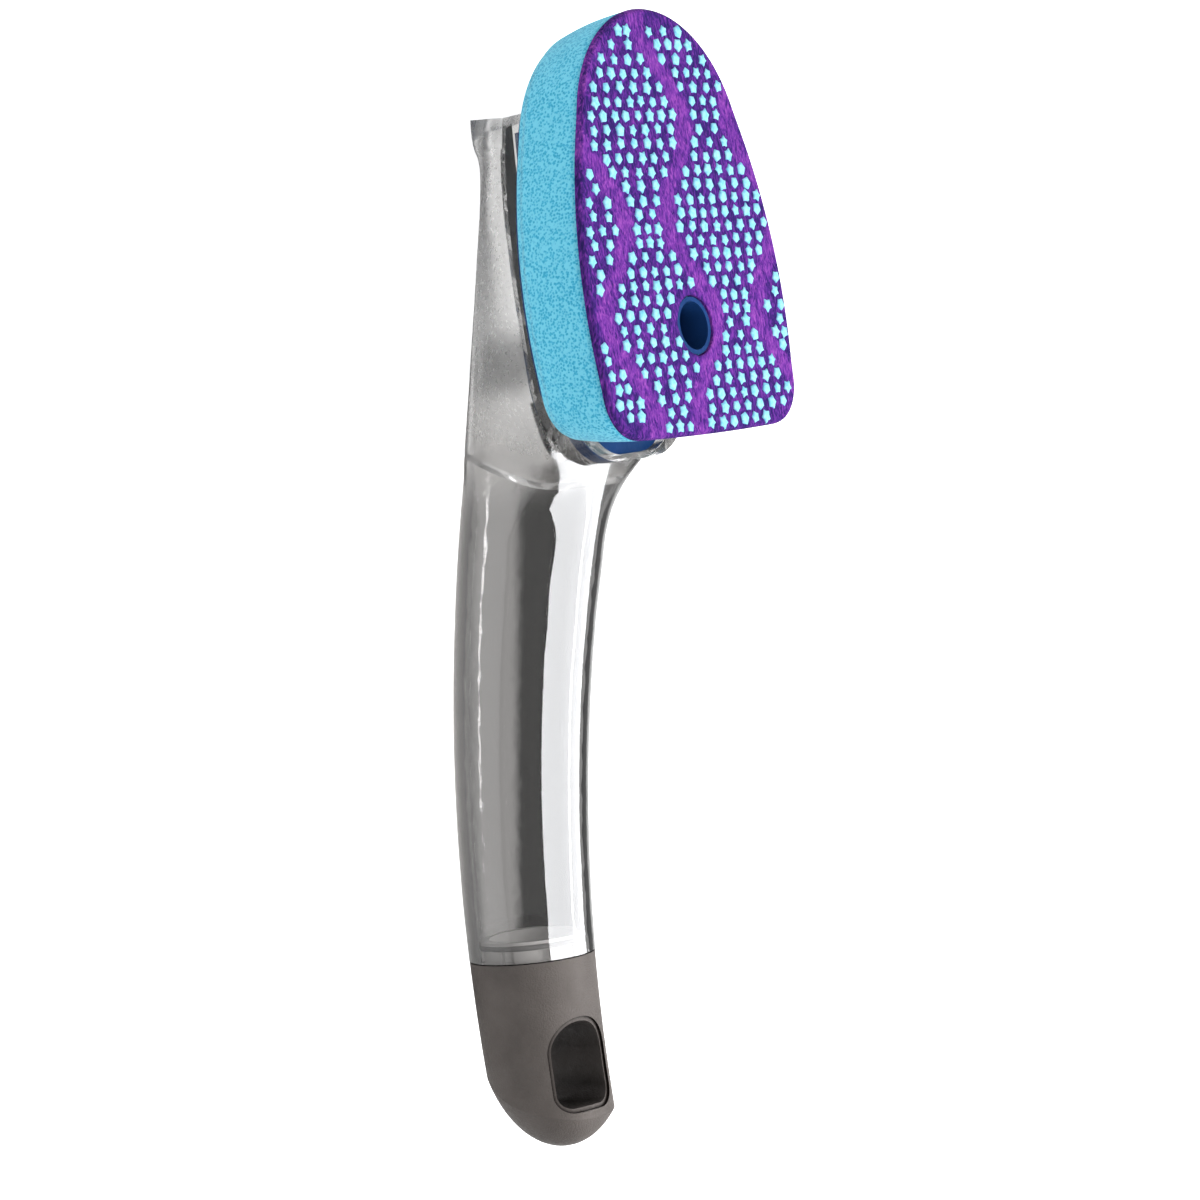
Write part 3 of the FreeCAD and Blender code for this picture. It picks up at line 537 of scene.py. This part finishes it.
# Stage: a white floor that keeps a soft shadow, a white surround, a softbox over the wand and a broad weak
# one in front. A card and a strip overhead are there for gloss and clear plastic alone, and so is a painted
# shadow on the floor: grey bands under the grip that only rays through clear plastic see.
def seen_by(tree, *kinds):
    """One for the named kinds of ray, and nought for every other ray."""
    path = place(tree, "ShaderNodeLightPath", {})
    seen = path.outputs[kinds[0]]
    for kind in kinds[1:]:
        either = place(tree, "ShaderNodeMath", {0: seen, 1: path.outputs[kind]}, operation="MAXIMUM")
        seen = either.outputs["Value"]
    return seen


def stage_finish(name):
    """A stage material with an empty tree: gives the material and its tree."""
    finish = bpy.data.materials.new(name)
    finish.use_nodes = True
    finish.node_tree.nodes.clear()
    return finish, finish.node_tree


floor_finish, floor_tree = stage_finish("floor_white")
floor_where = place(floor_tree, "ShaderNodeTexCoord", {}).outputs["Object"]
floor_part = place(floor_tree, "ShaderNodeSeparateXYZ", {"Vector": floor_where})
# Painted shadow: for rays that came through clear plastic the floor is grey in bands under the grip, standing
# for the handle's shadow, and white towards the head.
painted_shadow_across = place(floor_tree, "ShaderNodeMath", {
    0: floor_part.outputs["X"], 1: -0.09, 2: floor_part.outputs["Y"]}, operation="MULTIPLY_ADD")
painted_shadow_edge = place(floor_tree, "ShaderNodeMapRange", {
    "Value": painted_shadow_across.outputs["Value"], "From Min": -0.001, "From Max": 0.006,
    "To Min": 0.36, "To Max": 0.12}, interpolation_type="SMOOTHSTEP")
painted_shadow_core = place(floor_tree, "ShaderNodeMapRange", {
    "Value": painted_shadow_across.outputs["Value"], "From Min": -0.021, "From Max": -0.014, "To Min": 0.02,
    "To Max": painted_shadow_edge.outputs["Result"]}, interpolation_type="SMOOTHSTEP")
painted_shadow_end = place(floor_tree, "ShaderNodeMapRange", {
    "Value": floor_part.outputs["X"], "From Min": 0.01, "From Max": 0.042},
    interpolation_type="SMOOTHSTEP")
painted_floor_shadow = place(floor_tree, "ShaderNodeMapRange", {
    "Value": painted_shadow_end.outputs["Result"], "To Min": painted_shadow_core.outputs["Result"], "To Max": 1.0})
floor_glow_and_painted_shadow = place(floor_tree, "ShaderNodeMapRange", {
    "Value": seen_by(floor_tree, "Is Transmission Ray"), "To Min": 0.88, "To Max": painted_floor_shadow.outputs["Result"]})
floor_level = place(floor_tree, "ShaderNodeMath", {
    0: floor_glow_and_painted_shadow.outputs["Result"],
    1: seen_by(floor_tree, "Is Camera Ray", "Is Transmission Ray")}, operation="MULTIPLY")
floor_light = place(floor_tree, "ShaderNodeEmission", {
    "Color": (1.0, 1.0, 1.0, 1.0), "Strength": floor_level.outputs["Value"]})
floor_shade = place(floor_tree, "ShaderNodeMapRange", {
    "Value": seen_by(floor_tree, "Is Transmission Ray"), "To Min": 0.8, "To Max": 0.0})
floor_own = place(floor_tree, "ShaderNodeBsdfDiffuse", {"Color": floor_shade.outputs["Result"]})
floor_sum = place(floor_tree, "ShaderNodeAddShader", {
    0: floor_own.outputs["BSDF"], 1: floor_light.outputs["Emission"]})
place(floor_tree, "ShaderNodeOutputMaterial", {"Surface": floor_sum.outputs["Shader"]})


def level_sheet(name, low, high, finish):
    """A flat level rectangle from one corner to the other."""
    left, near, height = low
    right, far = high
    mesh = bpy.data.meshes.new(name)
    outline = [(left, near, height), (right, near, height), (right, far, height), (left, far, height)]
    mesh.from_pydata(outline, [], [(0, 1, 2, 3)])
    mesh.materials.append(finish)
    sheet = bpy.data.objects.new(name, mesh)
    bpy.context.scene.collection.objects.link(sheet)
    return sheet


floor_reach = 2.5
floor_drop = 0.0003
floor_low = (-floor_reach, -floor_reach, -floor_drop)
floor = level_sheet("floor", floor_low, (floor_reach, floor_reach), floor_finish)


def hang_card(name, low, high, level, near_level, seen):
    """Level card over the wand from corner to corner, bright for some rays and clear for the rest."""
    finish, tree = stage_finish(name)
    where = place(tree, "ShaderNodeTexCoord", {}).outputs["Object"]
    part = place(tree, "ShaderNodeSeparateXYZ", {"Vector": where})
    shine = place(tree, "ShaderNodeMapRange", {
        "Value": part.outputs["Y"], "From Min": low[1], "From Max": high[1],
        "To Min": level, "To Max": near_level})
    light = place(tree, "ShaderNodeEmission", {
        "Color": (0.97, 0.98, 1.0, 1.0), "Strength": shine.outputs["Result"]})
    clear = place(tree, "ShaderNodeBsdfTransparent", {})
    mix = place(tree, "ShaderNodeMixShader", {
        0: seen(tree), 1: clear.outputs["BSDF"], 2: light.outputs["Emission"]})
    place(tree, "ShaderNodeOutputMaterial", {"Surface": mix.outputs["Shader"]})
    card = level_sheet(name, low, high, finish)


def mirrored(tree):
    """One for rays straight off a glossy surface, and nought for those that came through clear plastic."""
    through = seen_by(tree, "Is Transmission Ray")
    return place(tree, "ShaderNodeMath", {0: seen_by(tree, "Is Glossy Ray"), 1: through},
                 operation="SUBTRACT", use_clamp=True).outputs["Value"]


def passed_through(tree):
    """One for rays that came through clear plastic."""
    return seen_by(tree, "Is Transmission Ray")


hang_card("card_over", (-0.8, -1.2, 0.65), (0.04, 0.22), 8.0, 12.5, mirrored)
hang_card("strip_over", (-0.8, -0.71, 0.66), (0.5, -0.62), 40.0, 40.0, passed_through)

world = bpy.data.worlds.new("studio")
bpy.context.scene.world = world
world.use_nodes = True
world_tree = world.node_tree
world_tree.nodes.clear()
level = place(world_tree, "ShaderNodeMapRange", {
    "Value": seen_by(world_tree, "Is Camera Ray"), "To Min": 0.3, "To Max": 1.0})
back = place(world_tree, "ShaderNodeBackground", {
    "Color": (1.0, 1.0, 1.0, 1.0), "Strength": level.outputs["Result"]})
place(world_tree, "ShaderNodeOutputWorld", {"Surface": back.outputs["Background"]})


def softbox(name, spot, aim, width, length, radiance):
    """Rectangular lamp of a stated radiance at a spot, facing an aim, its length along the wand."""
    lamp = bpy.data.lights.new(name, "AREA")
    lamp.shape = "RECTANGLE"
    lamp.size, lamp.size_y = length, width
    lamp.energy = radiance * np.pi * width * length
    away = np.array(spot) - np.array(aim)
    away /= np.linalg.norm(away)
    side = np.cross(away, np.cross((1.0, 0.0, 0.0), away))
    side /= np.linalg.norm(side)
    up = np.cross(away, side)
    holder = bpy.data.objects.new(name, lamp)
    turn = Matrix((side.tolist(), up.tolist(), away.tolist())).transposed().to_4x4()
    holder.matrix_world = Matrix.Translation(spot) @ turn
    holder.visible_glossy = False
    holder.visible_transmission = False
    bpy.context.scene.collection.objects.link(holder)


softbox("softbox_over", (0.0, -0.16, 0.62), (0.0, 0.0, 0.03), 0.34, 1.1, 5.2)
softbox("softbox_front", (0.1, 0.75, 0.55), (0.02, 0.0, 0.03), 0.5, 1.0, 1.7)

camera = bpy.data.objects.new("camera", bpy.data.cameras.new("camera"))
camera.data.lens = 121.554
camera.data.sensor_width = 36.0
camera.data.clip_end = 20.0
camera.location = (0.14571, 0.715408, 0.526045)
camera.rotation_euler = np.radians((-14.5044, -54.8325, -84.1187))
bpy.context.scene.collection.objects.link(camera)
bpy.context.scene.camera = camera
bpy.context.scene.view_settings.view_transform = "Standard"
